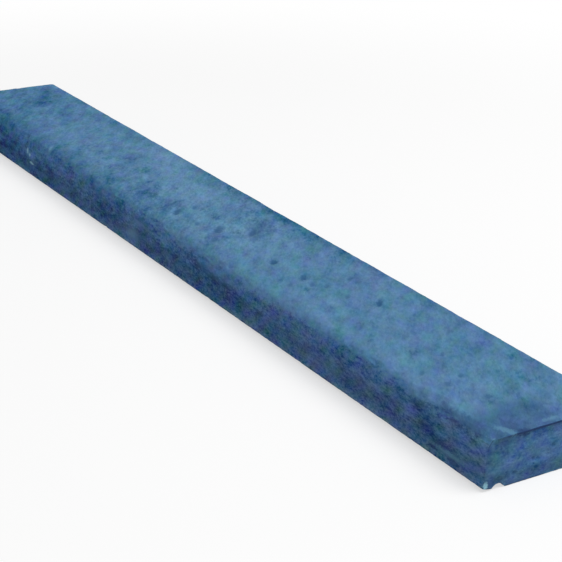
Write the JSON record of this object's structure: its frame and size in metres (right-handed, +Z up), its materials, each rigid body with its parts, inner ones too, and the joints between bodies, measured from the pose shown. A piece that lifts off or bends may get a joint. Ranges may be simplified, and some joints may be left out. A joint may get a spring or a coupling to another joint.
{
  "type": "concrete wall coping",
  "caption": "Long flat-topped precast concrete coping for a narrow wall, with rounded top arrises and a drip groove under each overhanging side.",
  "frame": {"origin": "centre of the bed face, the underside that is laid on the wall", "axes": "+X along the wall, +Y across the wall, +Z up"},
  "size_m": [1.2, 0.15, 0.05],
  "materials": {
    "concrete": "matt cast concrete"
  },
  "bodies": {
    "root": {"coping": "concrete"}
  },
  "joints": []
}
